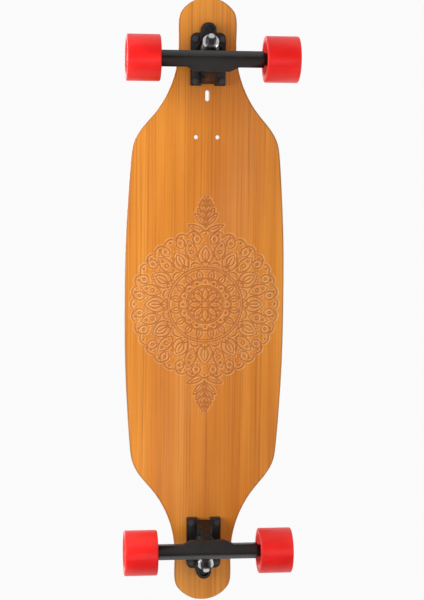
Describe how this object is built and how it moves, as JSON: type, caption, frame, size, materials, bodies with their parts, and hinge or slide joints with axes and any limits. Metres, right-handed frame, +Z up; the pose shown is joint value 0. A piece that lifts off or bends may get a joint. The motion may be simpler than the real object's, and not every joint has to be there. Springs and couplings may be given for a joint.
{
  "type": "longboard skateboard",
  "caption": "Top-mount longboard skateboard: narrow-necked concave wooden deck, two sprung reverse-kingpin trucks that lean and steer, and four rolling urethane wheels.",
  "frame": {"origin": "on the floor under the wheels, below the middle of the deck", "axes": "+X along the board towards the nose, +Y to the rider's left, +Z up"},
  "size_m": [0.9524, 0.2608, 0.122],
  "materials": {
    "bamboo_veneer": "varnished bamboo with engraved ornament",
    "maple_core": "varnished edge",
    "top_veneer": "varnished bamboo",
    "grip_tape": "coarse grit",
    "riser_rubber": "matt",
    "black_casting": "satin black powder coat",
    "pivot_urethane": "satin",
    "bushing_urethane": "satin urethane",
    "bright_steel": "zinc plated",
    "black_steel": "black oxide",
    "red_urethane": "satin cast urethane",
    "wheel_core_plastic": "moulded",
    "bearing_steel": "ground",
    "shield_black": "satin"
  },
  "bodies": {
    "deck": {"deck_bottom_veneer": "bamboo_veneer", "deck_core": "maple_core", "deck_top_veneer": "top_veneer", "grip_tape": "grip_tape", "front_riser_pad": "riser_rubber", "front_baseplate": "black_casting", "front_pivot_cup": "pivot_urethane", "front_kingpin": "bright_steel", "front_kingpin_nut": "black_steel", "front_cup_washer": "bright_steel", "front_boardside_bushing": "bushing_urethane", "front_roadside_bushing": "bushing_urethane", "front_mounting_bolts": "black_steel", "front_mounting_nuts": "black_steel", "rear_riser_pad": "riser_rubber", "rear_baseplate": "black_casting", "rear_pivot_cup": "pivot_urethane", "rear_kingpin": "bright_steel", "rear_kingpin_nut": "black_steel", "rear_cup_washer": "bright_steel", "rear_boardside_bushing": "bushing_urethane", "rear_roadside_bushing": "bushing_urethane", "rear_mounting_bolts": "black_steel", "rear_mounting_nuts": "black_steel"},
    "front_hanger_body": {"front_hanger": "black_casting", "front_axle": "bright_steel", "front_speed_rings": "bright_steel", "front_bearing_inner_races": "bearing_steel", "front_bearing_spacers": "bright_steel", "front_axle_nuts": "bright_steel"},
    "front_left_wheel": {"front_left_wheel_tyre": "red_urethane", "front_left_wheel_core": "wheel_core_plastic", "front_left_bearing_outer_races": "bearing_steel", "front_left_bearing_balls": "bearing_steel", "front_left_bearing_shields": "shield_black"},
    "front_right_wheel": {"front_right_wheel_tyre": "red_urethane", "front_right_wheel_core": "wheel_core_plastic", "front_right_bearing_outer_races": "bearing_steel", "front_right_bearing_balls": "bearing_steel", "front_right_bearing_shields": "shield_black"},
    "rear_hanger_body": {"rear_hanger": "black_casting", "rear_axle": "bright_steel", "rear_speed_rings": "bright_steel", "rear_bearing_inner_races": "bearing_steel", "rear_bearing_spacers": "bright_steel", "rear_axle_nuts": "bright_steel"},
    "rear_left_wheel": {"rear_left_wheel_tyre": "red_urethane", "rear_left_wheel_core": "wheel_core_plastic", "rear_left_bearing_outer_races": "bearing_steel", "rear_left_bearing_balls": "bearing_steel", "rear_left_bearing_shields": "shield_black"},
    "rear_right_wheel": {"rear_right_wheel_tyre": "red_urethane", "rear_right_wheel_core": "wheel_core_plastic", "rear_right_bearing_outer_races": "bearing_steel", "rear_right_bearing_balls": "bearing_steel", "rear_right_bearing_shields": "shield_black"}
  },
  "joints": [
    {"name": "front_lean", "type": "hinge", "parent": "deck", "child": "front_hanger_body", "pos_m": [0.39575, 0, 0.073], "axis": [0.766, 0, 0.6428], "range_deg": [-20, 20], "stiffness_Nm_per_rad": 110, "deforming": ["front_boardside_bushing", "front_roadside_bushing"]},
    {"name": "front_left_roll", "type": "hinge", "parent": "front_hanger_body", "child": "front_left_wheel", "pos_m": [0.37975, 0.1049, 0.035], "axis": [0, 1, 0], "continuous": true},
    {"name": "front_right_roll", "type": "hinge", "parent": "front_hanger_body", "child": "front_right_wheel", "pos_m": [0.37975, -0.1049, 0.035], "axis": [0, 1, 0], "continuous": true},
    {"name": "rear_lean", "type": "hinge", "parent": "deck", "child": "rear_hanger_body", "pos_m": [-0.39575, 0, 0.073], "axis": [-0.766, 0, 0.6428], "range_deg": [-20, 20], "stiffness_Nm_per_rad": 110, "deforming": ["rear_boardside_bushing", "rear_roadside_bushing"]},
    {"name": "rear_left_roll", "type": "hinge", "parent": "rear_hanger_body", "child": "rear_left_wheel", "pos_m": [-0.37975, 0.1049, 0.035], "axis": [0, 1, 0], "continuous": true},
    {"name": "rear_right_roll", "type": "hinge", "parent": "rear_hanger_body", "child": "rear_right_wheel", "pos_m": [-0.37975, -0.1049, 0.035], "axis": [0, 1, 0], "continuous": true}
  ]
}
